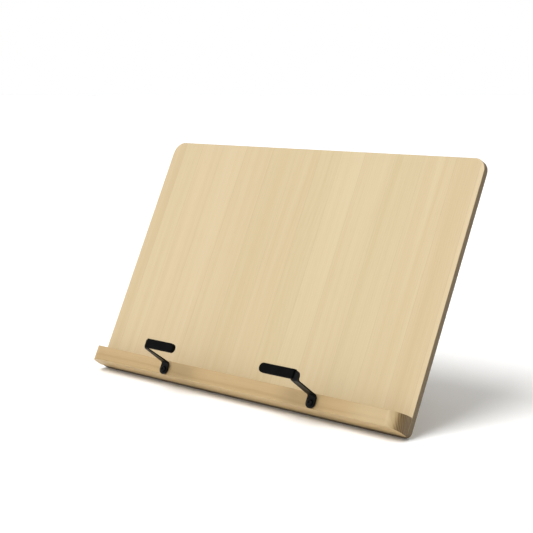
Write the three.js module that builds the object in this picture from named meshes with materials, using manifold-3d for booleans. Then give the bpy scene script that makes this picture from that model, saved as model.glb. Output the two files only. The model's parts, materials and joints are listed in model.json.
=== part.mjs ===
// Folding wooden book stand: a thin panel with a ledge and two page clips, held up from behind by a
// hinged leg frame and a steel wire stay that hooks round the leg.
// Millimetres, +Z up, +X to the reader's right, the reader stands at -Y.
import * as THREE from 'three';
import { mergeVertices } from 'three/addons/utils/BufferGeometryUtils.js';
import Module from 'manifold-3d';

const wasm = await Module();
wasm.setup();

// ---- Driving dimensions -----------------------------------------------------------------------------
const LEAN = THREE.MathUtils.degToRad(26.35);        // the panel leans back from the vertical
const LEG_OPEN = THREE.MathUtils.degToRad(48);       // leg to panel when it stands
const STAY_OPEN = 2 * LEG_OPEN;                      // stay to panel: the stay turns twice as far

const GAP = 0.3;                                     // air between pieces that touch or slide
const PANEL = { width: 380, height: 245.9, thick: 6, topRadius: 12, bottomRadius: 5.5, ease: 0.25 };
const LEDGE = { height: 17.1, depth: 18.8, cornerRadius: 13, topRound: 1, backEdge: 0.4 };
const SOLE_RISE = 3.3;                               // the underside slants up this far towards the front
const LEDGE_SCREW = {
  every: 145, z: 8.5, shank: 1.4, head: 3.4, length: 17, holeLength: 20, holeDepth: 12.5,
};

// Page clips: a bent steel strip on a screw in the ledge, with a soft sleeve over its finger.
const CLIP = {
  screwZ: 7.95, steel: 1.2, width: 9.4, bend: 2.5, armTopZ: 14.6, reach: 50, fingerRootZ: 19.9,
  fingerLowZ: 21.5, fingerHighZ: 27.8, tipRadius: 2.5,
};
// Sideways places from each clip's own screw, with the finger pointing to -X (the left clip is mirrored).
const CLIPS = {
  left: { x: -81, side: -1, outer: 3.2, armInner: -1.6, corner: 0.8, sleeveEnd: 1.2, nose: -34.8 },
  right: { x: 100.4, side: 1, outer: 4.7, armInner: -4, corner: 4.5, sleeveEnd: -1, nose: -40.1 },
};
const SLEEVE = { lowZ: 20.2, highZ: 28.75, thick: 4.2, wall: 0.9, noseWall: 1.2, ease: 0.6 };
const CLIP_SCREW = { shank: 1.6, head: 3.1, dome: 1.5, length: 13, holeDepth: 10.5 };
const WASHER = { radius: 4.5, thick: 0.8 };

// Rear leg frame, drawn folded flat: y = 0, z = 0 is the hinge line, the leg hangs down -Z.
const HINGE_Z = 168;                                 // hinge line, up the back of the panel
const LEG = {
  clearance: 0.6, thick: 12, stileX: 51, stileWidth: 18, edgeGap: 3,
  slimBack: -4.8,                                    // back face of the stiles below the notches
  topRail: 24, bottomRail: { low: -140, high: -120, front: -12.6, back: -5.6 }, padThick: 2.5,
};
const HINGE = { x: 21, width: 26, leaf: 1.2, seat: 1.6, barrel: 2.4, bore: 1.25, pin: 0.95, reach: 18 };
const BATTEN = { width: 200, height: 24 };
const NOTCH = { count: 3, pitch: 13, ramp: 5, slope: 0.9 };
const DOWEL = { radius: 3, length: 22 };

// Wire stay: pivots in two brackets on the panel's back, and its crossbar lies behind the stiles.
const STAY = { belowHinge: 70, wire: 2, armX: 64, stubEnd: 74, bend: 5, insetY: -2, shorter: 1.56 };
const BRACKET = { x: 68.5, steel: 1.5, footWidth: 15, height: 20, eye: 5, hole: 2.4 };
const SMALL_SCREW = { shank: 1.1, head: 2.4, dome: 1.1 };

const backY = PANEL.thick;                           // the panel's back face
const legBackY = -HINGE.seat;                        // wood surface under the hinge leaf, leg frame
const legFrontY = legBackY - LEG.thick;
const hingeY = backY + LEG.clearance + LEG.thick + HINGE.seat;
const stayY = hingeY + STAY.insetY;
const stayZ = HINGE_Z - STAY.belowHinge;
const stayLength = STAY.belowHinge - STAY.shorter;
const hookZ = -((STAY.belowHinge + stayLength) * Math.cos(LEG_OPEN) + STAY.insetY * Math.sin(LEG_OPEN));

// ---- Materials --------------------------------------------------------------------------------------
function finish(color, roughness, metalness) {
  return new THREE.MeshStandardMaterial({ color, roughness, metalness });
}
const paleWood = () => finish('#dcc79c', 0.6, 0);
const ledgeWood = () => finish('#cbb184', 0.6, 0);
const blackSteel = () => finish('#161616', 0.4, 0.6);
const zincSteel = () => finish('#b9b9b4', 0.35, 0.9);
const blackRubber = () => finish('#141414', 0.75, 0);
const nylon = () => finish('#2a2a2a', 0.5, 0);

// ---- Solids -----------------------------------------------------------------------------------------
function solid(geometry) {
  const bare = new THREE.BufferGeometry();
  bare.setAttribute('position', geometry.getAttribute('position'));
  if (geometry.index) bare.setIndex(geometry.index);
  const merged = mergeVertices(bare, 1e-4);
  return new wasm.Manifold(new wasm.Mesh({
    numProp: 3,
    vertProperties: new Float32Array(merged.getAttribute('position').array),
    triVerts: new Uint32Array(merged.index.array),
  }));
}

function geometryOf(manifold) {
  const mesh = manifold.getMesh();
  const geometry = new THREE.BufferGeometry();
  geometry.setAttribute('position', new THREE.BufferAttribute(new Float32Array(mesh.vertProperties), 3));
  geometry.setIndex(new THREE.BufferAttribute(new Uint32Array(mesh.triVerts), 1));
  geometry.computeVertexNormals();
  return geometry;
}

const union = (first, ...rest) => rest.reduce((sum, piece) => sum.add(piece), first);
const cut = (first, ...rest) => rest.reduce((left, piece) => left.subtract(piece), first);

function outline(points) {
  return new THREE.Shape(points.map(([u, v]) => new THREE.Vector2(u, v)));
}

// A rectangle u0..u1, v0..v1 whose corners are rounded: the radii run lower left, lower right, upper right,
// upper left.
function roundedRectangle(u0, u1, v0, v1, radii) {
  const [lowerLeft, lowerRight, upperRight, upperLeft] = radii;
  const shape = new THREE.Shape();
  shape.moveTo(u0 + lowerLeft, v0);
  shape.lineTo(u1 - lowerRight, v0);
  if (lowerRight) shape.absarc(u1 - lowerRight, v0 + lowerRight, lowerRight, -Math.PI / 2, 0);
  shape.lineTo(u1, v1 - upperRight);
  if (upperRight) shape.absarc(u1 - upperRight, v1 - upperRight, upperRight, 0, Math.PI / 2);
  shape.lineTo(u0 + upperLeft, v1);
  if (upperLeft) shape.absarc(u0 + upperLeft, v1 - upperLeft, upperLeft, Math.PI / 2, Math.PI);
  shape.lineTo(u0, v0 + lowerLeft);
  if (lowerLeft) shape.absarc(u0 + lowerLeft, v0 + lowerLeft, lowerLeft, Math.PI, 1.5 * Math.PI);
  return shape;
}

function extrude(shape, depth, ease, curveSegments) {
  const geometry = new THREE.ExtrudeGeometry(shape, {
    depth: depth - 2 * ease, curveSegments,
    bevelEnabled: ease > 0, bevelThickness: ease, bevelSize: ease, bevelOffset: -ease, bevelSegments: 1,
  });
  return geometry.translate(0, 0, ease);
}

// A side view (y, z) pushed along X from x0 to x1.
function alongX(shape, x0, x1, ease = 0, curveSegments = 6) {
  const turn = new THREE.Matrix4().makeBasis(
    new THREE.Vector3(0, 1, 0), new THREE.Vector3(0, 0, 1), new THREE.Vector3(1, 0, 0));
  return solid(extrude(shape, x1 - x0, ease, curveSegments).applyMatrix4(turn).translate(x0, 0, 0));
}

// A front view (x, z) pushed along Y from y0 to y1.
function alongY(shape, y0, y1, ease = 0, curveSegments = 6) {
  const turn = new THREE.Matrix4().makeBasis(
    new THREE.Vector3(1, 0, 0), new THREE.Vector3(0, 0, 1), new THREE.Vector3(0, -1, 0));
  return solid(extrude(shape, y1 - y0, ease, curveSegments).applyMatrix4(turn).translate(0, y1, 0));
}

// A plan view (x, y) pushed up from z0 to z1.
function alongZ(shape, z0, z1, ease = 0, curveSegments = 6) {
  return solid(extrude(shape, z1 - z0, ease, curveSegments).translate(0, 0, z0));
}

function box(x0, x1, y0, y1, z0, z1) {
  const geometry = new THREE.BoxGeometry(x1 - x0, y1 - y0, z1 - z0);
  return solid(geometry.translate((x0 + x1) / 2, (y0 + y1) / 2, (z0 + z1) / 2));
}

function rodAlongX(radius, x0, x1, y, z, sides = 16) {
  const geometry = new THREE.CylinderGeometry(radius, radius, x1 - x0, sides).rotateZ(Math.PI / 2);
  return solid(geometry.translate((x0 + x1) / 2, y, z));
}

function rodAlongY(radius, y0, y1, x, z, sides = 16) {
  const geometry = new THREE.CylinderGeometry(radius, radius, y1 - y0, sides);
  return solid(geometry.translate(x, (y0 + y1) / 2, z));
}

// A screw driven along +Y or -Y: its head's seat is at y = seat, and its tip at seat + into * length.
function screw(x, seat, z, into, { shank, head, dome, length, countersunk = false }) {
  const sink = head - shank;
  const profile = countersunk
    ? [[0, -length], [shank * 0.4, -length + 1], [shank, -length + 3], [shank, -sink], [head, 0], [0, 0]]
    : [[0, -length], [shank * 0.4, -length + 1], [shank, -length + 3], [shank, 0], [head, 0],
      [head, dome * 0.4], [head * 0.72, dome * 0.85], [0, dome]];
  const turned = new THREE.LatheGeometry(profile.map(([r, h]) => new THREE.Vector2(r, h)), 10);
  // LatheGeometry turns about its own Y: the head points along -into.
  if (into > 0) turned.rotateX(Math.PI);
  return solid(turned.translate(x, seat, z));
}

// A strip of even thickness along bent (u, v) points, with every bend rounded.
function ribbon(points, bend, thick) {
  const nodes = points.map(([u, v]) => new THREE.Vector2(u, v));
  const left = [];
  const right = [];
  const put = (at, normal) => {
    left.push(at.clone().addScaledVector(normal, thick / 2));
    right.push(at.clone().addScaledVector(normal, -thick / 2));
  };
  const normalOf = (from, to) => {
    const way = to.clone().sub(from).normalize();
    return new THREE.Vector2(-way.y, way.x);
  };
  nodes.forEach((node, i) => {
    if (i === 0 || i === nodes.length - 1) {
      put(node, i === 0 ? normalOf(node, nodes[1]) : normalOf(nodes[i - 1], node));
      return;
    }
    const before = normalOf(nodes[i - 1], node);
    const after = normalOf(node, nodes[i + 1]);
    const turn = Math.atan2(before.x * after.y - before.y * after.x, before.dot(after));
    const side = Math.sign(turn);
    const middle = before.clone().add(after).normalize();
    const centre = node.clone().addScaledVector(middle, side * bend / Math.cos(turn / 2));
    const steps = 5;
    for (let k = 0; k <= steps; k += 1) {
      const normal = before.clone().rotateAround(new THREE.Vector2(0, 0), turn * k / steps);
      put(centre.clone().addScaledVector(normal, -side * bend), normal);
    }
  });
  return new THREE.Shape([...left, ...right.reverse()]);
}

// A round wire through corner points, each corner bent to the given radius.
function wire(corners, radius, bend, steps) {
  const path = new THREE.CurvePath();
  let start = corners[0].clone();
  for (let i = 1; i < corners.length - 1; i += 1) {
    const corner = corners[i];
    const into = corner.clone().sub(corners[i - 1]).normalize();
    const away = corners[i + 1].clone().sub(corner).normalize();
    const arcStart = corner.clone().addScaledVector(into, -bend);
    const arcEnd = corner.clone().addScaledVector(away, bend);
    path.add(new THREE.LineCurve3(start, arcStart));
    path.add(new THREE.QuadraticBezierCurve3(arcStart, corner, arcEnd));
    start = arcEnd;
  }
  path.add(new THREE.LineCurve3(start, corners[corners.length - 1]));
  const section = new THREE.Shape().absarc(0, 0, radius, 0, 2 * Math.PI);
  return solid(new THREE.ExtrudeGeometry(section, {
    steps, curveSegments: 5, extrudePath: path, bevelEnabled: false,
  }));
}

function addPiece(group, name, manifold, material) {
  const mesh = new THREE.Mesh(geometryOf(manifold), material);
  mesh.name = name;
  group.add(mesh);
  return mesh;
}

// ---- Panel and ledge, in the panel's own frame: y = 0 is its front face, z runs up it ---------------
const hingeSides = [['left', -1], ['right', 1]];
const ledgeScrewXs = [-LEDGE_SCREW.every, 0, LEDGE_SCREW.every];
const hingeScrewXs = [-7.5, 7.5];
const hingeScrewReach = 12;
const hingeScrewLength = 9;
const bracketScrewX = BRACKET.x + 9;
const bracketScrewZs = [-6.2, 6.2];
const bracketScrewLength = 5.4;
const bracketPilotDepth = 4.4;
const leafPilotDepth = 9;

// What the slanted underside takes off the panel and the ledge: it rises from the panel's back edge, which
// stands on the table, to the ledge's front.
function belowSole() {
  const { thick, ease, width } = PANEL;
  const soleZ = (y) => SOLE_RISE * (thick - ease - y) / (thick - ease + LEDGE.depth);
  const [front, back, bottom] = [-1.5 * LEDGE.depth, 2 * thick, -LEDGE.height];
  const side = outline([[front, bottom], [back, bottom], [back, soleZ(back)], [front, soleZ(front)]]);
  return alongX(side, -width, width);
}

function panel() {
  const { width, height, thick, topRadius, bottomRadius, ease } = PANEL;
  const radii = [bottomRadius, bottomRadius, topRadius, topRadius];
  const board = alongY(roundedRectangle(-width / 2, width / 2, 0, height, radii), 0, thick, ease, 8);
  const screwHoles = ledgeScrewXs.map((x) => screw(x, backY + 0.01, LEDGE_SCREW.z, -1, {
    shank: LEDGE_SCREW.shank + GAP, head: LEDGE_SCREW.head + GAP, length: LEDGE_SCREW.holeLength,
    countersunk: true,
  }));
  const pilots = hingeSides.flatMap(([, side]) => bracketScrewZs.map((dz) => rodAlongY(
    SMALL_SCREW.shank + GAP, backY - bracketPilotDepth, backY + 1, side * bracketScrewX, stayZ + dz, 10)));
  return cut(board, belowSole(), ...screwHoles, ...pilots);
}

function ledge() {
  const half = PANEL.width / 2;
  const { height, depth, cornerRadius, topRound, backEdge } = LEDGE;
  const section = roundedRectangle(-depth, -GAP, 0, height, [0, 0, backEdge, topRound]);
  const plan = roundedRectangle(-half, half, -depth, -GAP, [cornerRadius, cornerRadius, backEdge, backEdge]);
  const bar = alongX(section, -half, half).intersect(alongZ(plan, -1, height + 1, 0, 10));
  const backPilots = ledgeScrewXs.map((x) =>
    rodAlongY(LEDGE_SCREW.shank + GAP, -LEDGE_SCREW.holeDepth, 1, x, LEDGE_SCREW.z, 10));
  const clipPilots = Object.values(CLIPS).map(({ x }) =>
    rodAlongY(CLIP_SCREW.shank + GAP, -depth - 1, -depth + CLIP_SCREW.holeDepth, x, CLIP.screwZ, 12));
  return cut(bar, belowSole(), ...backPilots, ...clipPilots);
}

function ledgeScrew(x) {
  return screw(x, backY - 0.2, LEDGE_SCREW.z, -1, { ...LEDGE_SCREW, countersunk: true });
}

// ---- Page clips -------------------------------------------------------------------------------------
const washerBackY = -LEDGE.depth - 0.2;
const tabBackY = washerBackY - WASHER.thick - 0.2;
const tabMidY = tabBackY - CLIP.steel / 2;
const tabFrontY = tabBackY - CLIP.steel;

function clipStrip({ side, outer, armInner, corner, nose }) {
  const { width, steel, reach, bend, tipRadius } = CLIP;
  const half = width / 2;
  const bent = ribbon([
    [tabMidY, CLIP.screwZ], [tabMidY, CLIP.armTopZ],
    [-reach, CLIP.fingerRootZ], [-reach, CLIP.fingerHighZ - corner],
  ], bend, steel);
  const taperStart = tabFrontY - bend;
  const taperEnd = -reach + bend;
  const plan = outline([
    [-half, 0], [-half, taperStart], [armInner, taperEnd], [armInner, -reach - 3],
    [outer, -reach - 3], [outer, taperEnd], [half, taperStart], [half, 0],
  ]);
  const arm = alongX(bent, -half, half).intersect(alongZ(plan, -5, 40));
  const tabEnd = rodAlongY(half, tabFrontY, tabBackY, 0, CLIP.screwZ, 24);
  const fingerEnd = nose + SLEEVE.noseWall + 3 * GAP;
  const fingerShape = roundedRectangle(
    fingerEnd, outer, CLIP.fingerLowZ, CLIP.fingerHighZ, [tipRadius, 0.4, corner, tipRadius]);
  const finger = alongY(fingerShape, -reach - steel / 2, -reach + steel / 2);
  const hole = rodAlongY(CLIP_SCREW.shank + GAP, tabFrontY - 1, tabBackY + 1, 0, CLIP.screwZ, 16);
  return mirrored(cut(union(arm, tabEnd, finger), hole), side);
}

function clipSleeve({ side, armInner, sleeveEnd, nose }) {
  const { lowZ, highZ, thick, wall, noseWall, ease } = SLEEVE;
  const noseRadius = (highZ - lowZ) / 2 - 0.1;
  const pill = roundedRectangle(nose, sleeveEnd, lowZ, highZ, [noseRadius, 0, 0, noseRadius]);
  const body = alongY(pill, -CLIP.reach - thick / 2, -CLIP.reach + thick / 2, ease, 6);
  const halfSlot = CLIP.steel / 2 + GAP;
  const slot = box(nose + noseWall, sleeveEnd + 1,
    -CLIP.reach - halfSlot, -CLIP.reach + halfSlot, lowZ + wall, highZ - 0.7);
  const armRelief = box(armInner - 0.5, sleeveEnd + 1,
    -CLIP.reach - halfSlot - GAP, -CLIP.reach + thick, lowZ - 1, lowZ + 4.2);
  return mirrored(cut(body, slot, armRelief), side);
}

function mirrored(manifold, side) {
  return side > 0 ? manifold : manifold.mirror([1, 0, 0]);
}

function clipWasher() {
  const disc = rodAlongY(WASHER.radius, washerBackY - WASHER.thick, washerBackY, 0, CLIP.screwZ, 20);
  return cut(disc, rodAlongY(CLIP_SCREW.shank + GAP, washerBackY - 2, washerBackY + 1, 0, CLIP.screwZ, 12));
}

// ---- Hinges: drawn round their own pin, leaf 'up' goes on the batten and leaf 'down' on the leg -----
function hingeLeaf(direction) {
  const { width, leaf, seat, barrel, bore, reach } = HINGE;
  const half = width / 2;
  const third = width / 3;
  const knuckles = direction > 0 ? [[-half, -half + third - GAP / 2], [half - third + GAP / 2, half]]
    : [[-half + third + GAP / 2, half - third - GAP / 2]];
  const edge = barrel + 0.5;
  const [low, high] = direction > 0 ? [edge, reach] : [-reach, -edge];
  const [under, top] = [-seat + 0.02, -seat + leaf];
  const plate = alongY(roundedRectangle(-half, half, low, high, [1.5, 1.5, 1.5, 1.5]), under, top, 0, 3);
  const tabs = knuckles.map(([x0, x1]) => {
    const [z0, z1] = direction > 0 ? [0, edge + 2] : [-edge - 2, 0];
    return union(rodAlongX(barrel, x0, x1, 0, 0, 18), box(x0, x1, under, top, z0, z1));
  });
  const holes = hingeScrewXs.map((x) =>
    rodAlongY(SMALL_SCREW.shank + GAP, -seat - 1, 1, x, direction * hingeScrewReach, 12));
  return cut(union(plate, ...tabs), rodAlongX(bore, -half - 1, half + 1, 0, 0, 16), ...holes);
}

function hingePin() {
  const half = HINGE.width / 2 + 0.6;
  return rodAlongX(HINGE.pin, -half, half, 0, 0, 14);
}

// ---- Batten on the panel's back, level with the folded leg ------------------------------------------
function hingeBatten() {
  const z0 = HINGE_Z + LEG.edgeGap;
  const half = BATTEN.width / 2;
  const back = hingeY + legBackY;
  const section = roundedRectangle(backY + GAP, back, z0, z0 + BATTEN.height, [0.4, 1.2, 1.2, 0.4]);
  const bar = alongX(section, -half, half, 0, 3);
  const pilotZ = HINGE_Z + hingeScrewReach;
  const pilots = hingeSides.flatMap(([, side]) => hingeScrewXs.map((x) =>
    rodAlongY(SMALL_SCREW.shank + GAP, back - leafPilotDepth, back + 1, side * HINGE.x + x, pilotZ, 10)));
  return cut(bar, ...pilots);
}

// ---- Leg frame --------------------------------------------------------------------------------------
const legTilt = LEG_OPEN - LEAN;
// Height of the hinge line over the surface the stand stands on.
const floorZ = -(PANEL.thick - PANEL.ease) * Math.sin(LEAN);
const hingeHeight = HINGE_Z * Math.cos(LEAN) - hingeY * Math.sin(LEAN) - floorZ;
// The leg frame's z at depth y, for a level plane this high above the surface.
const levelZ = (y, above) => (above - hingeHeight - y * Math.sin(legTilt)) / Math.cos(legTilt);

// Side view of a stile: full depth above with saw-tooth notches in its back, slim below the lowest tooth.
function stileOutline() {
  const clear = STAY.wire + GAP;
  const low = LEG.padThick + GAP;
  const points = [
    [legFrontY, -LEG.edgeGap], [legFrontY, levelZ(legFrontY, low)],
    [LEG.slimBack, levelZ(LEG.slimBack, low)], [LEG.slimBack, hookZ + clear],
    [legBackY, hookZ + clear + NOTCH.slope],
  ];
  for (let k = 1; k <= NOTCH.count; k += 1) {
    const z = hookZ + k * NOTCH.pitch;
    points.push([legBackY, z - clear - NOTCH.ramp], [LEG.slimBack, z - clear]);
    points.push([LEG.slimBack, z + clear], [legBackY, z + clear + NOTCH.slope]);
  }
  points.push([legBackY, -LEG.edgeGap]);
  return outline(points);
}

const railMid = {
  top: [(legFrontY + legBackY) / 2, -LEG.edgeGap - LEG.topRail / 2],
  bottom: [(LEG.bottomRail.front + LEG.bottomRail.back) / 2, (LEG.bottomRail.low + LEG.bottomRail.high) / 2],
};
const stileInnerX = LEG.stileX - LEG.stileWidth / 2;
const dowelInX = stileInnerX - DOWEL.length / 2;
const dowelBore = (side, [y, z]) => {
  const ends = [side * (dowelInX - GAP), side * (dowelInX + DOWEL.length + GAP)].sort((a, b) => a - b);
  return rodAlongX(DOWEL.radius + GAP, ends[0], ends[1], y, z, 12);
};

function legStile(side) {
  const centre = side * LEG.stileX;
  const bar = alongX(stileOutline(), centre - LEG.stileWidth / 2, centre + LEG.stileWidth / 2);
  return cut(bar, ...Object.values(railMid).map((at) => dowelBore(side, at)));
}

function legRail(place) {
  const { low, high, front, back } = LEG.bottomRail;
  const [z0, z1, y0, y1] = place === 'top'
    ? [-LEG.edgeGap - LEG.topRail, -LEG.edgeGap, legFrontY, legBackY] : [low, high, front, back];
  const half = stileInnerX - GAP;
  const bar = alongX(roundedRectangle(y0, y1, z0, z1, [0.8, 0.8, 0.8, 0.8]), -half, half, 0, 2);
  const dowels = [-1, 1].map((side) => dowelBore(side, railMid[place]));
  const pilots = place !== 'top' ? [] : hingeSides.flatMap(([, side]) => hingeScrewXs.map((x) => rodAlongY(
    SMALL_SCREW.shank + GAP, y1 - leafPilotDepth, y1 + 1, side * HINGE.x + x, -hingeScrewReach, 10)));
  return cut(bar, ...dowels, ...pilots);
}

function legDowel(side, [y, z]) {
  const ends = [side * dowelInX, side * (dowelInX + DOWEL.length)].sort((a, b) => a - b);
  return rodAlongX(DOWEL.radius, ends[0], ends[1], y, z, 12);
}

function footPad(side) {
  const centre = side * LEG.stileX;
  const half = LEG.stileWidth / 2 - 0.8;
  const front = legFrontY + 0.8;
  const back = LEG.slimBack - 0.8;
  const shape = outline([
    [front, levelZ(front, 0)], [back, levelZ(back, 0)],
    [back, levelZ(back, LEG.padThick)], [front, levelZ(front, LEG.padThick)],
  ]);
  return alongX(shape, centre - half, centre + half);
}

// ---- Stay and its brackets --------------------------------------------------------------------------
function stay() {
  const { armX, stubEnd, wire: radius, bend } = STAY;
  const corners = [
    [stubEnd, 0], [armX, 0], [armX, -stayLength], [-armX, -stayLength], [-armX, 0], [-stubEnd, 0],
  ].map(([x, z]) => new THREE.Vector3(x, 0, z));
  return wire(corners, radius, bend, 96);
}

function stayBracket(side) {
  const { x, steel, footWidth, height, eye, hole } = BRACKET;
  const seat = backY + 0.15;
  const ear = new THREE.Shape();
  ear.moveTo(seat, stayZ - height / 2);
  ear.lineTo(seat + 3, stayZ - height / 2);
  ear.absarc(stayY, stayZ, eye, -Math.PI / 2 + 0.35, Math.PI / 2 - 0.35);
  ear.lineTo(seat + 3, stayZ + height / 2);
  ear.lineTo(seat, stayZ + height / 2);
  const foot = alongY(roundedRectangle(
    x, x + footWidth, stayZ - height / 2, stayZ + height / 2, [0, 2, 2, 0]), seat, seat + steel, 0, 3);
  const holes = bracketScrewZs.map((dz) =>
    rodAlongY(SMALL_SCREW.shank + GAP, 0, 2 * height, bracketScrewX, stayZ + dz, 12));
  const bracket = union(alongX(ear, x, x + steel, 0, 8), foot);
  return mirrored(cut(bracket, rodAlongX(hole, x - 1, x + steel + 1, stayY, stayZ, 16), ...holes), side);
}

// ---- Assembly ---------------------------------------------------------------------------------------
const stand = new THREE.Group();
const leaning = new THREE.Group();
leaning.rotation.x = -LEAN;
stand.add(leaning);

addPiece(leaning, 'back_panel', panel(), paleWood());
addPiece(leaning, 'ledge', ledge(), ledgeWood());
ledgeScrewXs.forEach((x, i) => addPiece(leaning, `ledge_screw_${i + 1}`, ledgeScrew(x), zincSteel()));
addPiece(leaning, 'hinge_batten', hingeBatten(), paleWood());

for (const [name, shape] of Object.entries(CLIPS)) {
  const clip = new THREE.Group();
  clip.position.x = shape.x;
  leaning.add(clip);
  addPiece(clip, `${name}_clip_strip`, clipStrip(shape), blackSteel());
  addPiece(clip, `${name}_clip_sleeve`, clipSleeve(shape), blackRubber());
  addPiece(clip, `${name}_clip_washer`, clipWasher(), nylon());
  addPiece(clip, `${name}_clip_screw`, screw(0, tabFrontY - 0.2, CLIP.screwZ, 1, CLIP_SCREW), blackSteel());
}

const leg = new THREE.Group();
leg.position.set(0, hingeY, HINGE_Z);
leg.rotation.x = LEG_OPEN;
leaning.add(leg);
addPiece(leg, 'leg_top_rail', legRail('top'), paleWood());
addPiece(leg, 'leg_bottom_rail', legRail('bottom'), paleWood());

const leafTopY = -HINGE.seat + HINGE.leaf;
const smallScrew = (x, seat, z, length) => screw(x, seat + 0.15, z, -1, { ...SMALL_SCREW, length });
for (const [name, side] of hingeSides) {
  addPiece(leg, `${name}_leg_stile`, legStile(side), paleWood());
  addPiece(leg, `${name}_foot_pad`, footPad(side), blackRubber());
  for (const [place, at] of Object.entries(railMid)) {
    addPiece(leg, `${name}_${place}_dowel`, legDowel(side, at), paleWood());
  }

  const fixedHinge = new THREE.Group();
  fixedHinge.position.set(side * HINGE.x, hingeY, HINGE_Z);
  leaning.add(fixedHinge);
  const movingHinge = new THREE.Group();
  movingHinge.position.x = side * HINGE.x;
  leg.add(movingHinge);
  addPiece(fixedHinge, `${name}_hinge_batten_leaf`, hingeLeaf(1), zincSteel());
  addPiece(fixedHinge, `${name}_hinge_pin`, hingePin(), zincSteel());
  addPiece(movingHinge, `${name}_hinge_leg_leaf`, hingeLeaf(-1), zincSteel());
  hingeScrewXs.forEach((x, i) => {
    const high = smallScrew(x, leafTopY, hingeScrewReach, hingeScrewLength);
    const low = smallScrew(x, leafTopY, -hingeScrewReach, hingeScrewLength);
    addPiece(fixedHinge, `${name}_batten_leaf_screw_${i + 1}`, high, zincSteel());
    addPiece(movingHinge, `${name}_leg_leaf_screw_${i + 1}`, low, zincSteel());
  });

  addPiece(leaning, `${name}_stay_bracket`, stayBracket(side), zincSteel());
  bracketScrewZs.forEach((dz, i) => {
    const seat = backY + 0.15 + BRACKET.steel;
    const held = smallScrew(side * bracketScrewX, seat, stayZ + dz, bracketScrewLength);
    addPiece(leaning, `${name}_bracket_screw_${i + 1}`, held, zincSteel());
  });
}

const stayGroup = new THREE.Group();
stayGroup.position.set(0, stayY, stayZ);
stayGroup.rotation.x = STAY_OPEN;
leaning.add(stayGroup);
addPiece(stayGroup, 'wire_stay', stay(), blackSteel());

// The origin lies on the surface the stand stands on, under the middle of its outline.
stand.updateMatrixWorld(true);
const extent = new THREE.Box3().setFromObject(stand, true);
stand.position.set(-(extent.min.x + extent.max.x) / 2, -(extent.min.y + extent.max.y) / 2, -extent.min.z);
stand.updateMatrixWorld(true);

export default stand;
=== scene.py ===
"""Looks of the folding wooden book stand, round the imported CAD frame. Metres, +Z up, the reader at -Y."""

import json
from math import atan2, cos, pi, radians, sin, tau

import bmesh
import bpy
from mathutils import Matrix, Vector


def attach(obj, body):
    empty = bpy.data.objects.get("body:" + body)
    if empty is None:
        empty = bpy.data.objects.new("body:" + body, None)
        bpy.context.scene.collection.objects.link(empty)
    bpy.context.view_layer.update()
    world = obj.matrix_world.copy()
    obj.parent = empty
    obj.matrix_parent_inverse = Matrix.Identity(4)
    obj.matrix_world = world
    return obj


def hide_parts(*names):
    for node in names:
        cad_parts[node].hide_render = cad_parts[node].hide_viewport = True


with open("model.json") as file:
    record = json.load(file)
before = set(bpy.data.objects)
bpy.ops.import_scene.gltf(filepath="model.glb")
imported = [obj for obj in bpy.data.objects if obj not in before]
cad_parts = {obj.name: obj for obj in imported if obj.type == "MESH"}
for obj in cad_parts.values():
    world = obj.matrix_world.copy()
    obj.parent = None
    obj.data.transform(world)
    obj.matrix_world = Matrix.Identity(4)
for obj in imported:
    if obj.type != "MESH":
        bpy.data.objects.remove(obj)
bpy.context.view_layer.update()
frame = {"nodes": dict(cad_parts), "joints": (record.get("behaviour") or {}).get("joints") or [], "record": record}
MM = 0.001


# ---- Camera, lights, floor ---------------------------------------------------------------------------------
CAMERA_PLACE = (0.7667, -0.8504, 0.2924)
CAMERA_PITCH = radians(8.695)
CAMERA_YAW = radians(42.486)
CAMERA_LENS = 84.43
SURROUND_RADIUS = 17.0


def make_camera():
    data = bpy.data.cameras.new("camera")
    data.lens = CAMERA_LENS
    data.sensor_width = 36
    data.clip_start, data.clip_end = 0.05, 3 * SURROUND_RADIUS
    camera = bpy.data.objects.new("camera", data)
    camera.location = CAMERA_PLACE
    camera.rotation_euler = (pi / 2 - CAMERA_PITCH, 0, CAMERA_YAW)
    bpy.context.scene.collection.objects.link(camera)
    bpy.context.scene.camera = camera


def add_sun(name, toward, strength, spread):
    """A large even light. toward points from the object to the light, and spread is how wide it looks."""
    data = bpy.data.lights.new(name, "SUN")
    data.energy = strength
    data.angle = radians(spread)
    light = bpy.data.objects.new(name, data)
    light.rotation_euler = Vector(toward).to_track_quat("Z", "Y").to_euler()
    light.location = Vector(toward) * 2
    bpy.context.scene.collection.objects.link(light)


def make_studio():
    scene = bpy.context.scene
    scene.view_settings.view_transform = "Standard"
    add_sun("key_light", (-0.12, -0.55, 0.83), 2.5, 38)
    add_sun("fill_light", (-0.35, -0.80, 0.45), 0.6, 60)

    # The surroundings are brighter on the reader's left, like a wide soft box there.
    world = bpy.data.worlds.new("studio")
    world.use_nodes = True
    tree = world.node_tree
    direction = add(tree, "ShaderNodeTexCoord").outputs["Generated"]
    sideways = add(tree, "ShaderNodeSeparateXYZ", {"Vector": direction}).outputs["X"]
    tree.links.new(ramp(tree, sideways, -0.9, 0.9, 0.90, 0.42), tree.nodes["Background"].inputs["Strength"])
    tree.nodes["Background"].inputs["Color"].default_value = (1, 1, 1, 1)
    scene.world = world

    build = bmesh.new()
    bmesh.ops.create_circle(build, cap_ends=True, radius=SURROUND_RADIUS, segments=96)
    floor = object_from(build, "floor")
    floor.data.materials.append(pale_floor())

    # A white surround that only the camera sees, so that it adds no light of its own.
    build = bmesh.new()
    bmesh.ops.create_uvsphere(build, u_segments=64, v_segments=32, radius=SURROUND_RADIUS)
    surround = object_from(build, "surround")
    surround.data.materials.append(white_surround())
    surround.visible_diffuse = surround.visible_glossy = surround.visible_shadow = False
    surround.visible_transmission = False


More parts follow.
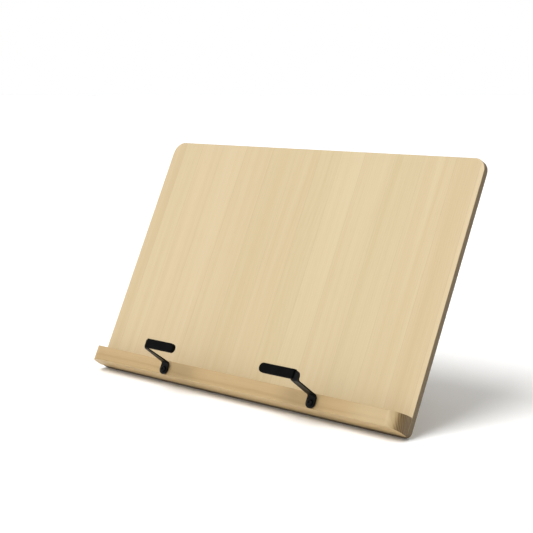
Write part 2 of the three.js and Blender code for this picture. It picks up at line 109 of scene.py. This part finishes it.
# ---- Node helpers ------------------------------------------------------------------------------------------
def new_material(name):
    material = bpy.data.materials.new(name)
    material.use_nodes = True
    return material, material.node_tree, material.node_tree.nodes["Principled BSDF"]


def add(tree, kind, inputs=None, **settings):
    """Adds a node. An input's value is a number, a tuple, or another node's output socket."""
    node = tree.nodes.new(kind)
    for key, value in settings.items():
        setattr(node, key, value)
    for key, value in (inputs or {}).items():
        if isinstance(value, bpy.types.NodeSocket):
            tree.links.new(value, node.inputs[key])
        else:
            node.inputs[key].default_value = value
    return node


def maths(tree, operation, *values, clamp=False):
    inputs = dict(enumerate(values))
    return add(tree, "ShaderNodeMath", inputs, operation=operation, use_clamp=clamp).outputs[0]


def ramp(tree, value, low, high, start=0.0, end=1.0):
    """Value from low..high, eased to start..end."""
    inputs = {"Value": value, "From Min": low, "From Max": high, "To Min": start, "To Max": end}
    return add(tree, "ShaderNodeMapRange", inputs, interpolation_type="SMOOTHSTEP").outputs["Result"]


def noise(tree, vector, scale=1.0, detail=3.0, roughness=0.5, distortion=0.0):
    inputs = {"Vector": vector, "Scale": scale, "Detail": detail, "Roughness": roughness,
              "Distortion": distortion}
    return add(tree, "ShaderNodeTexNoise", inputs).outputs["Fac"]


def blend_colours(tree, factor, first, second, way="MIX"):
    node = add(tree, "ShaderNodeMix", data_type="RGBA", blend_type=way)
    sockets = {"Factor": node.inputs[0], "A": node.inputs[6], "B": node.inputs[7]}
    for key, value in (("Factor", factor), ("A", first), ("B", second)):
        if isinstance(value, bpy.types.NodeSocket):
            tree.links.new(value, sockets[key])
        else:
            sockets[key].default_value = value
    return node.outputs[2]


def put_bump(tree, shader, height, strength, distance):
    bump = add(tree, "ShaderNodeBump", {"Height": height, "Strength": strength, "Distance": distance})
    tree.links.new(bump.outputs["Normal"], shader.inputs["Normal"])


def colour(red, green, blue):
    """Linear colour from 0..255 display values."""
    def linear(value):
        share = value / 255
        return share / 12.92 if share <= 0.04045 else ((share + 0.055) / 1.055) ** 2.4
    return (linear(red), linear(green), linear(blue), 1)


# ---- Wood --------------------------------------------------------------------------------------------------
def wood(name, turn, order, light, dark, warm, stave, ring=2.4 * MM, figure=0.09, painted_edge_shade=0.3,
         end_shade=0.68, painted_highlight=None):
    """Lacquered wood, glued up from staves.

    turn is the board's own rotation, and order says which of its axes run across the staves, through the
    board and along the grain. light, dark and warm are its colours, stave is a stave's width, ring is the
    distance between growth rings, and figure is how clearly they show. painted_edge_shade is painted shade:
    how much darker the edges are drawn than the faces for the light they would get, or a painted highlight
    that makes them paler where it is negative. end_shade is how bright the end grain is, partly its own
    darker tone from the finish it soaked up and partly painted shade. painted_highlight is (from, to,
    colour): places along the grain between which a paler colour comes in on the faces, a painted highlight.
    """
    material, tree, shader = new_material(name)
    place = add(tree, "ShaderNodeTexCoord")
    back = turn.inverted().to_euler()
    turned_back = add(tree, "ShaderNodeMapping", {"Vector": place.outputs["Object"], "Rotation": back})
    axes = add(tree, "ShaderNodeSeparateXYZ", {"Vector": turned_back.outputs[0]}).outputs
    across, through, along = (axes[axis] for axis in order)

    # Staves: a random cell each across the board, with its own tint and its own place in the tree.
    cell = maths(tree, "MULTIPLY_ADD", across, 1 / stave, 31.7)
    staves = add(tree, "ShaderNodeTexVoronoi", {"W": cell, "Scale": 1.0, "Randomness": 0.75},
                 voronoi_dimensions="1D", feature="F1")
    seams = add(tree, "ShaderNodeTexVoronoi", {"W": cell, "Scale": 1.0, "Randomness": 0.75},
                voronoi_dimensions="1D", feature="DISTANCE_TO_EDGE")
    chance = add(tree, "ShaderNodeSeparateColor", {"Color": staves.outputs["Color"]}).outputs

    shift = maths(tree, "MULTIPLY", chance[0], 5.0)
    slow = add(tree, "ShaderNodeCombineXYZ", {"X": shift, "Y": 0.0, "Z": maths(tree, "MULTIPLY", along, 5.0)})
    wander = maths(tree, "MULTIPLY_ADD", noise(tree, slow.outputs[0], detail=1.0), 26 * MM, -13 * MM)
    from_heart = maths(tree, "ADD", maths(tree, "MULTIPLY_ADD", chance[1], 0.11, -0.055), wander)
    ring_across = maths(tree, "ADD", across, from_heart)
    ring_through = maths(tree, "ADD", through, maths(tree, "MULTIPLY_ADD", chance[2], 0.05, 0.012))
    squares = maths(tree, "MULTIPLY", ring_across, ring_across)
    radius = maths(tree, "SQRT", maths(tree, "MULTIPLY_ADD", ring_through, ring_through, squares))

    def grain(scale_across, scale_along, **settings):
        parts = {"X": maths(tree, "MULTIPLY_ADD", across, scale_across, shift),
                 "Y": maths(tree, "MULTIPLY", through, scale_across),
                 "Z": maths(tree, "MULTIPLY_ADD", along, scale_along, shift)}
        return noise(tree, add(tree, "ShaderNodeCombineXYZ", parts).outputs[0], **settings)

    fibre = grain(1100, 22, detail=3.0, roughness=0.6)
    streak = grain(140, 3.0, detail=2.0)
    cloud = grain(28, 5.0, detail=2.0)
    phase = maths(tree, "MULTIPLY_ADD", fibre, 0.25, maths(tree, "DIVIDE", radius, ring))
    late = ramp(tree, maths(tree, "PINGPONG", phase, 0.5), 0.18, 0.5)

    # Tone from pale to deep, and a separate drift towards a warmer hue.
    depth = maths(tree, "MULTIPLY", late, figure)
    depth = maths(tree, "MULTIPLY_ADD", streak, 0.65, depth)
    depth = maths(tree, "MULTIPLY_ADD", fibre, 0.26, depth)
    depth = maths(tree, "MULTIPLY_ADD", chance[0], 0.35, depth)
    depth = maths(tree, "SUBTRACT", depth, 0.43, clamp=True)
    hue = maths(tree, "MULTIPLY_ADD", chance[2], 0.9, -0.3)
    hue = maths(tree, "MULTIPLY_ADD", cloud, 0.5, hue, clamp=True)
    tone = blend_colours(tree, depth, light, dark)
    tone = blend_colours(tree, hue, tone, blend_colours(tree, depth, warm, dark))

    seam = ramp(tree, seams.outputs["Distance"], 0.0, 0.35 * MM / stave, 0.86, 1.0)
    pores = ramp(tree, grain(2600, 70, detail=1.0), 0.64, 0.8, 1.0, 0.88)

    def facing(axis):
        way = {0: place.outputs["Normal"], 1: turn @ Vector([float(axis == each) for each in "XYZ"])}
        dot = add(tree, "ShaderNodeVectorMath", way, operation="DOT_PRODUCT").outputs["Value"]
        return maths(tree, "ABSOLUTE", dot)

    face = ramp(tree, facing("Y"), 0.3, 0.96)
    # Painted highlight: a paler colour comes in on the faces over a span along the grain, for light caught near
    # the ledge's rounded end.
    if painted_highlight:
        start, stop, paler = painted_highlight
        share = maths(tree, "MULTIPLY", ramp(tree, along, start, stop, 0.0, 0.35), face)
        tone = blend_colours(tree, share, tone, paler)

    # Painted shade darkens the edges, or a painted highlight pales them where the edge value is negative; end
    # grain soaked up the finish and shows its rings, and gets painted shade too.
    side = maths(tree, "MULTIPLY_ADD", face, painted_edge_shade, 1 - painted_edge_shade)
    end = ramp(tree, facing(order[2]), 0.5, 0.85)
    end_tone = maths(tree, "MULTIPLY_ADD", late, -end_shade / 2, end_shade)
    side = maths(tree, "MULTIPLY_ADD", maths(tree, "SUBTRACT", end_tone, side), end, side)
    shade = maths(tree, "MULTIPLY", maths(tree, "MULTIPLY", seam, pores), side)
    grey = add(tree, "ShaderNodeCombineColor", {"Red": shade, "Green": maths(tree, "POWER", shade, 1.12),
                                                "Blue": maths(tree, "POWER", shade, 1.35)})
    tone = blend_colours(tree, 1.0, tone, grey.outputs[0], "MULTIPLY")
    tree.links.new(tone, shader.inputs["Base Color"])

    gloss = maths(tree, "MULTIPLY_ADD", fibre, 0.18, 0.40)
    tree.links.new(gloss, shader.inputs["Roughness"])
    shader.inputs["Specular IOR Level"].default_value = 0.35
    shader.inputs["Coat Weight"].default_value = 0.06
    shader.inputs["Coat Roughness"].default_value = 0.35
    relief = maths(tree, "MULTIPLY_ADD", pores, 0.6, maths(tree, "MULTIPLY", fibre, 0.4))
    put_bump(tree, shader, maths(tree, "MULTIPLY_ADD", seam, 0.8, relief), 0.35, 0.12 * MM)
    return material


# ---- Metals, rubber, nylon ---------------------------------------------------------------------------------
def object_noise(tree, scale, **settings):
    return noise(tree, add(tree, "ShaderNodeTexCoord").outputs["Object"], scale, **settings)


def coated_steel():
    """Black powder coat: fine orange peel, and paler where handling has polished it."""
    material, tree, shader = new_material("black_powder_coat")
    peel = object_noise(tree, 2600, detail=2.0)
    worn = ramp(tree, object_noise(tree, 170, detail=4.0), 0.55, 0.8)
    tone = blend_colours(tree, worn, (0.0018, 0.0017, 0.0016, 1), (0.0042, 0.0039, 0.0035, 1))
    tree.links.new(tone, shader.inputs["Base Color"])
    tree.links.new(maths(tree, "MULTIPLY_ADD", peel, 0.16, 0.30), shader.inputs["Roughness"])
    shader.inputs["Specular IOR Level"].default_value = 0.08
    put_bump(tree, shader, peel, 0.25, 0.05 * MM)
    return material


def zinc_steel():
    material, tree, shader = new_material("zinc_plated_steel")
    spangle = object_noise(tree, 420, detail=3.0)
    scratch = object_noise(tree, 2400, detail=2.0, distortion=0.8)
    tone = blend_colours(tree, ramp(tree, spangle, 0.3, 0.7), (0.50, 0.50, 0.49, 1), (0.66, 0.655, 0.64, 1))
    tree.links.new(tone, shader.inputs["Base Color"])
    tree.links.new(maths(tree, "MULTIPLY_ADD", spangle, 0.22, 0.24), shader.inputs["Roughness"])
    shader.inputs["Metallic"].default_value = 1.0
    put_bump(tree, shader, scratch, 0.15, 0.02 * MM)
    return material


def soft_rubber():
    material, tree, shader = new_material("black_rubber")
    grain = object_noise(tree, 1700, detail=3.0)
    bloom = ramp(tree, object_noise(tree, 90, detail=3.0), 0.4, 0.75)
    tone = blend_colours(tree, bloom, (0.0016, 0.0016, 0.0016, 1), (0.0030, 0.0030, 0.0029, 1))
    tree.links.new(tone, shader.inputs["Base Color"])
    tree.links.new(maths(tree, "MULTIPLY_ADD", grain, 0.2, 0.5), shader.inputs["Roughness"])
    shader.inputs["Specular IOR Level"].default_value = 0.03
    put_bump(tree, shader, grain, 0.3, 0.06 * MM)
    return material


def nylon():
    material, tree, shader = new_material("black_nylon")
    grain = object_noise(tree, 900, detail=2.0)
    tone = blend_colours(tree, grain, (0.010, 0.010, 0.010, 1), (0.020, 0.020, 0.020, 1))
    tree.links.new(tone, shader.inputs["Base Color"])
    tree.links.new(maths(tree, "MULTIPLY_ADD", grain, 0.2, 0.35), shader.inputs["Roughness"])
    return material


def pale_floor():
    material, tree, shader = new_material("pale_floor")
    mottle = object_noise(tree, 6, detail=3.0)
    tone = blend_colours(tree, mottle, (0.90, 0.90, 0.895, 1), (0.92, 0.92, 0.915, 1))
    tree.links.new(tone, shader.inputs["Base Color"])
    shader.inputs["Roughness"].default_value = 0.9
    shader.inputs["Specular IOR Level"].default_value = 0.1
    return material


def white_surround():
    material, tree, shader = new_material("white_surround")
    light = add(tree, "ShaderNodeEmission", {"Color": (1, 1, 1, 1), "Strength": 1.0})
    tree.links.new(light.outputs[0], tree.nodes["Material Output"].inputs["Surface"])
    tree.nodes.remove(shader)
    return material


# ---- Mesh helpers ------------------------------------------------------------------------------------------
def object_from(build, name):
    """Turns a bmesh into a linked object and frees it."""
    mesh = bpy.data.meshes.new(name)
    build.to_mesh(mesh)
    build.free()
    made = bpy.data.objects.new(name, mesh)
    bpy.context.scene.collection.objects.link(made)
    return made


def smooth(piece, crease):
    """Smooth shading that breaks at edges sharper than crease degrees and keeps flat faces flat."""
    for polygon in piece.data.polygons:
        polygon.use_smooth = True
    piece.data.set_sharp_from_angle(angle=radians(crease))
    normals = piece.modifiers.new("flat_faces", "WEIGHTED_NORMAL")
    normals.keep_sharp = True


BODY_OF = {node: body for body, nodes in frame["record"]["behaviour"]["bodies"].items() for node in nodes}


def place_piece(piece, node, material):
    """The piece stands for a CAD node, and moves with that node's body."""
    piece.data.materials.clear()
    piece.data.materials.append(material)
    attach(piece, BODY_OF[node])
    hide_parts(node)


def refined(node, ease, crease=40):
    """A copy of a CAD node, with its flat faces joined and its edges over crease degrees rounded by ease."""
    build = bmesh.new()
    build.from_mesh(frame["nodes"][node].data)
    bmesh.ops.remove_doubles(build, verts=build.verts, dist=0.002 * MM)
    bmesh.ops.dissolve_limit(build, angle_limit=radians(0.5), verts=build.verts, edges=build.edges)
    sharp = [edge for edge in build.edges
             if len(edge.link_faces) == 2 and edge.calc_face_angle() > radians(crease)]
    bmesh.ops.bevel(build, geom=sharp, offset=ease, offset_type="OFFSET", segments=3, profile=0.5,
                    affect="EDGES", clamp_overlap=True)
    piece = object_from(build, node + "_finished")
    smooth(piece, crease)
    return piece


def turned(profile, segments=40, pitch=0.0, thread=()):
    """A solid of revolution about +Z from (radius, height) points, both ends on the axis. Rows whose height
    lies in thread get a helical ridge of that pitch."""
    build = bmesh.new()
    rows = []
    for radius, height in profile:
        if radius == 0:
            rows.append([build.verts.new((0, 0, height))] * segments)
            continue
        row = []
        for step in range(segments):
            angle = tau * step / segments
            reach = radius
            if thread and thread[0] < height < thread[1]:
                ridge = abs((height / pitch - step / segments) % 1.0 - 0.5) * 2
                reach = radius * (0.76 + 0.24 * min(1.0, 1.6 * ridge))
            row.append(build.verts.new((reach * cos(angle), reach * sin(angle), height)))
        rows.append(row)
    for low, high in zip(rows, rows[1:]):
        for step in range(segments):
            after = (step + 1) % segments
            corners = [low[step], low[after], high[after], high[step]]
            face = list(dict.fromkeys(corners))
            if len(face) > 2:
                build.faces.new(face)
    bmesh.ops.recalc_face_normals(build, faces=build.faces)
    return build


def local_box(node, turn):
    """A CAD node's lowest and highest corners along the axes of a turned frame."""
    back = turn.inverted()
    points = [back @ vertex.co for vertex in frame["nodes"][node].data.vertices]
    low = Vector([min(point[axis] for point in points) for axis in range(3)])
    high = Vector([max(point[axis] for point in points) for axis in range(3)])
    return low, high


# ---- Frames of the board, the leg and the stay -------------------------------------------------------------
joints = {joint["name"]: joint for joint in frame["joints"]}
clip_axis = joints["left_clip_swing"]["axis"]
lean = atan2(clip_axis[2], -clip_axis[1])
leg_open = radians(joints["leg_fold"]["range_deg"][1])
stay_open = radians(joints["stay_swing"]["range_deg"][1])
BOARD_TURN = Matrix.Rotation(-lean, 3, "X")
LEG_TURN = BOARD_TURN @ Matrix.Rotation(leg_open, 3, "X")
STAY_TURN = BOARD_TURN @ Matrix.Rotation(stay_open, 3, "X")


# ---- Screws ------------------------------------------------------------------------------------------------
# Radii, and the height of the head's dome or, in a countersunk head, the depth that its recess follows.
LEDGE_SCREW = {"shank": 1.4 * MM, "head": 3.4 * MM, "dome": 1.9 * MM, "countersunk": True}
CLIP_SCREW = {"shank": 1.6 * MM, "head": 3.1 * MM, "dome": 1.5 * MM, "countersunk": False}
SMALL_SCREW = {"shank": 1.1 * MM, "head": 2.4 * MM, "dome": 1.1 * MM, "countersunk": False}
SCREW_TIP = 1.2 * MM
SCREW_NECK = 0.8 * MM
THREAD_PITCH = 0.9 * MM
THREAD_ROWS = 44


def cross_cutter(reach, width, depth):
    """Two crossed wedges that cut a driver recess down from z = 0."""
    build = bmesh.new()
    outline = [(reach, width), (-reach, width), (-reach, -width), (reach, -width)]
    top = [Vector((x, y, 0.3 * MM)) for x, y in outline]
    bottom = [Vector((x * 0.42, y * 0.6, -depth)) for x, y in outline]
    for turn in (0, pi / 2):
        spin = Matrix.Rotation(turn, 3, "Z")
        corners = [build.verts.new(spin @ point) for point in top + bottom]
        build.faces.new(corners[:4])
        build.faces.new(corners[7:3:-1])
        for side in range(4):
            after = (side + 1) % 4
            build.faces.new([corners[side], corners[side + 4], corners[after + 4], corners[after]])
    bmesh.ops.recalc_face_normals(build, faces=build.faces)
    return build


def screw_profile(length, shank, head, dome, countersunk):
    """A screw's (radius, height) points from its tip to its head's top at z = 0, and where the thread ends."""
    under = -(head - shank) if countersunk else -dome
    thread_top = under - SCREW_NECK
    rows = [(0, -length), (shank * 0.35, -length + 0.75 * SCREW_TIP)]
    for index in range(THREAD_ROWS + 1):
        height = -length + SCREW_TIP + (thread_top + length - SCREW_TIP) * index / THREAD_ROWS
        taper = min(1.0, 0.5 + (height + length) / (5 * SCREW_TIP))
        rows.append((shank * taper, height))
    rows.append((shank, under))
    if countersunk:
        rows += [(head - 0.1 * MM, -0.12 * MM), (head - 0.12 * MM, -0.02 * MM), (head - 0.25 * MM, 0)]
    else:
        rim = under + 0.35 * dome
        rows += [(head - 0.12 * MM, under), (head, under + 0.1 * MM), (head, rim)]
        for index in range(1, 7):
            angle = pi / 2 * index / 7
            rows.append((head * cos(angle) ** 0.85, rim + 0.65 * dome * sin(angle)))
    return rows + [(0, 0)], thread_top


def screw_mesh(length, shank, head, dome, countersunk):
    """A wood screw along +Z with a cross recess, its head's top at z = 0 and its tip at z = -length."""
    rows, thread_top = screw_profile(length, shank, head, dome, countersunk)
    blank = turned(rows, 32, THREAD_PITCH, (-length + 0.5 * MM, thread_top))
    body = object_from(blank, "screw_blank")
    cutter = object_from(cross_cutter(head * 0.56, head * 0.115, dome * 0.85), "screw_cutter")
    cut = body.modifiers.new("recess", "BOOLEAN")
    cut.operation, cut.solver, cut.use_self, cut.object = "DIFFERENCE", "EXACT", True, cutter
    evaluated = body.evaluated_get(bpy.context.evaluated_depsgraph_get())
    mesh = bpy.data.meshes.new_from_object(evaluated)
    for scrap in (body, cutter):
        bpy.data.objects.remove(scrap)
    return mesh


def add_screw(node, turn, into, kind, spin, material):
    """A screw in a CAD screw's place. into is +1 or -1 along the turned frame's y, and kind is its sizes."""
    low, high = local_box(node, turn)
    top = low.y if into > 0 else high.y
    mesh = screw_mesh(high.y - low.y, **kind)
    stand_up = Matrix.Rotation(pi / 2 if into > 0 else -pi / 2, 3, "X") @ Matrix.Rotation(spin, 3, "Z")
    middle = Vector(((low.x + high.x) / 2, top, (low.z + high.z) / 2))
    mesh.transform(Matrix.Translation(turn @ middle) @ (turn @ stand_up).to_4x4())
    piece = bpy.data.objects.new(node + "_finished", mesh)
    bpy.context.scene.collection.objects.link(piece)
    smooth(piece, 35)
    place_piece(piece, node, material)


# ---- Wire stay ---------------------------------------------------------------------------------------------
WIRE_RADIUS = 2 * MM
WIRE_BEND = 5 * MM
STAY_ARM_X = 64 * MM


def bent_path(corners, bend, steps=14):
    """A line through the corners, with each inner one rounded off from bend before it to bend after it."""
    path = [corners[0]]
    for before, corner, after in zip(corners, corners[1:], corners[2:]):
        start = corner + (before - corner).normalized() * bend
        end = corner + (after - corner).normalized() * bend
        for step in range(steps + 1):
            share = step / steps
            path.append(start * (1 - share) ** 2 + corner * 2 * share * (1 - share) + end * share ** 2)
    path.append(corners[-1])
    return path


def round_wire(path, radius, sides=20, dome_steps=5):
    """A wire of round section along a path that lies in an XZ plane, with domed ends."""
    build = bmesh.new()
    rings = []

    def ring(centre, way, reach):
        across = Vector((0, 1, 0))
        other = way.cross(across).normalized()
        angles = [tau * k / sides for k in range(sides)]
        rings.append([build.verts.new(centre + reach * (cos(a) * across + sin(a) * other)) for a in angles])

    first_way, last_way = (path[1] - path[0]).normalized(), (path[-1] - path[-2]).normalized()
    dome = [sin(pi / 2 * (step + 0.4) / dome_steps) for step in range(dome_steps)]
    for swell in dome:
        ring(path[0] + first_way * (1 - swell) * radius / 2, first_way, radius * swell ** 0.5)
    for before, point, after in zip(path, path[1:], path[2:]):
        ring(point, (after - before).normalized(), radius)
    for swell in reversed(dome):
        ring(path[-1] - last_way * (1 - swell) * radius / 2, last_way, radius * swell ** 0.5)
    for one, two in zip(rings, rings[1:]):
        for k in range(sides):
            after = (k + 1) % sides
            build.faces.new([one[k], one[after], two[after], two[k]])
    build.faces.new(rings[0])
    build.faces.new(rings[-1])
    bmesh.ops.recalc_face_normals(build, faces=build.faces)
    return build


def add_stay(material):
    """A round steel wire, bent into a wide U with its two stubs turned outward."""
    node = "wire_stay"
    low, high = local_box(node, STAY_TURN)
    top, bottom, stub = high.z - WIRE_RADIUS, low.z + WIRE_RADIUS, high.x
    outline = [(stub, top), (STAY_ARM_X, top), (STAY_ARM_X, bottom),
               (-STAY_ARM_X, bottom), (-STAY_ARM_X, top), (-stub, top)]
    corners = [Vector((x, (low.y + high.y) / 2, z)) for x, z in outline]
    piece = object_from(round_wire(bent_path(corners, WIRE_BEND), WIRE_RADIUS), node + "_finished")
    piece.data.transform(STAY_TURN.to_4x4())
    smooth(piece, 50)
    place_piece(piece, node, material)


# ---- Hinge pins, washers -----------------------------------------------------------------------------------
WASHER_BORE = 2 * MM
WASHER_EASE = 0.12 * MM


def add_pin(node, material):
    """A hinge pin with domed ends, along X."""
    low, high = local_box(node, BOARD_TURN)
    radius = (high.y - low.y) / 2
    half = (high.x - low.x) / 2
    steps = 6
    angles = [pi / 2 * step / steps for step in range(steps + 1)]
    dome = [(radius * sin(angle), radius * 0.6 * (1 - cos(angle))) for angle in angles]
    rows = [(r, -half + h) for r, h in dome] + [(r, half - h) for r, h in reversed(dome)]
    piece = object_from(turned(rows, 28), node + "_finished")
    centre = BOARD_TURN @ ((low + high) / 2)
    lay_down = BOARD_TURN @ Matrix.Rotation(pi / 2, 3, "Y")
    piece.data.transform(Matrix.Translation(centre) @ lay_down.to_4x4())
    smooth(piece, 50)
    place_piece(piece, node, material)


def add_washer(node, material):
    """A flat ring with eased edges, round the clip's screw."""
    low, high = local_box(node, BOARD_TURN)
    outer, thick = (high.x - low.x) / 2, high.y - low.y
    bore, ease = WASHER_BORE, WASHER_EASE
    section = [(bore, ease), (bore + ease, 0), (outer - ease, 0), (outer, ease), (outer, thick - ease),
               (outer - ease, thick), (bore + ease, thick), (bore, thick - ease)]
    segments = 56
    build = bmesh.new()
    rows = [[build.verts.new((r * cos(tau * k / segments), r * sin(tau * k / segments), h))
             for r, h in section] for k in range(segments)]
    for k, row in enumerate(rows):
        following = rows[(k + 1) % segments]
        for i in range(len(section)):
            j = (i + 1) % len(section)
            build.faces.new([row[i], row[j], following[j], following[i]])
    bmesh.ops.recalc_face_normals(build, faces=build.faces)
    piece = object_from(build, node + "_finished")
    front = Vector(((low.x + high.x) / 2, low.y, (low.z + high.z) / 2))
    face_reader = BOARD_TURN @ Matrix.Rotation(-pi / 2, 3, "X")
    piece.data.transform(Matrix.Translation(BOARD_TURN @ front) @ face_reader.to_4x4())
    smooth(piece, 35)
    place_piece(piece, node, material)


# ---- Assembly ----------------------------------------------------------------------------------------------
def dress_wood():
    pale, deep, rosy = colour(179, 163, 129), colour(161, 140, 99), colour(180, 161, 129)
    upright, level = "XYZ", "ZYX"
    # The edge and end values paint shade on the boards' edges; the ledge's negative edge value is a painted
    # highlight on its sides and underside.
    panel = wood("panel_wood", BOARD_TURN, upright, pale, deep, rosy, stave=30 * MM, painted_edge_shade=0.66,
                 end_shade=0.42)
    # The ledge's paler span near its right end is a painted highlight.
    ledge = wood("ledge_wood", BOARD_TURN, level, colour(162, 137, 93), colour(140, 115, 73),
                 colour(165, 140, 102), stave=90 * MM, ring=1.8 * MM, figure=0.28, painted_edge_shade=-0.38,
                 end_shade=0.56, painted_highlight=(125 * MM, 165 * MM, pale))
    batten = wood("batten_wood", BOARD_TURN, level, pale, deep, rosy, stave=60 * MM, painted_edge_shade=0.15)
    stile = wood("stile_wood", LEG_TURN, upright, pale, deep, rosy, stave=45 * MM, painted_edge_shade=0.15)
    rail = wood("rail_wood", LEG_TURN, level, pale, deep, rosy, stave=70 * MM, painted_edge_shade=0.15)
    place_piece(refined("back_panel", 0.15 * MM), "back_panel", panel)
    place_piece(refined("ledge", 0.5 * MM, crease=50), "ledge", ledge)
    place_piece(refined("hinge_batten", 0.5 * MM), "hinge_batten", batten)
    for place in ("top", "bottom"):
        place_piece(refined(f"leg_{place}_rail", 0.4 * MM), f"leg_{place}_rail", rail)
    for side in ("left", "right"):
        place_piece(refined(f"{side}_leg_stile", 0.7 * MM), f"{side}_leg_stile", stile)
        for place in ("top", "bottom"):
            dowel = f"{side}_{place}_dowel"
            place_piece(refined(dowel, 0.5 * MM, crease=60), dowel, rail)


def dress_metal():
    black, zinc = coated_steel(), zinc_steel()
    rubber, plastic = soft_rubber(), nylon()
    add_stay(black)
    for number, spin in ((1, 0.5), (2, 1.1), (3, 0.2)):
        add_screw(f"ledge_screw_{number}", BOARD_TURN, -1, LEDGE_SCREW, spin, zinc)
    for side in ("left", "right"):
        strip, sleeve = f"{side}_clip_strip", f"{side}_clip_sleeve"
        place_piece(refined(strip, 0.22 * MM), strip, black)
        place_piece(refined(sleeve, 0.4 * MM), sleeve, rubber)
        add_washer(f"{side}_clip_washer", plastic)
        spin = 0.35 if side == "left" else 0.9
        add_screw(f"{side}_clip_screw", BOARD_TURN, 1, CLIP_SCREW, spin, black)
        pad = f"{side}_foot_pad"
        place_piece(refined(pad, 0.6 * MM), pad, rubber)
        bracket = f"{side}_stay_bracket"
        place_piece(refined(bracket, 0.25 * MM), bracket, zinc)
        add_pin(f"{side}_hinge_pin", zinc)
        for leaf in ("batten", "leg"):
            node = f"{side}_hinge_{leaf}_leaf"
            place_piece(refined(node, 0.2 * MM), node, zinc)
        for number in (1, 2):
            for kind, turn in (("batten_leaf", BOARD_TURN), ("leg_leaf", LEG_TURN), ("bracket", BOARD_TURN)):
                spin = 0.4 * number + (0.7 if side == "left" else 0.1) + len(kind) * 0.3
                add_screw(f"{side}_{kind}_screw_{number}", turn, -1, SMALL_SCREW, spin, zinc)


make_camera()
make_studio()
dress_wood()
dress_metal()
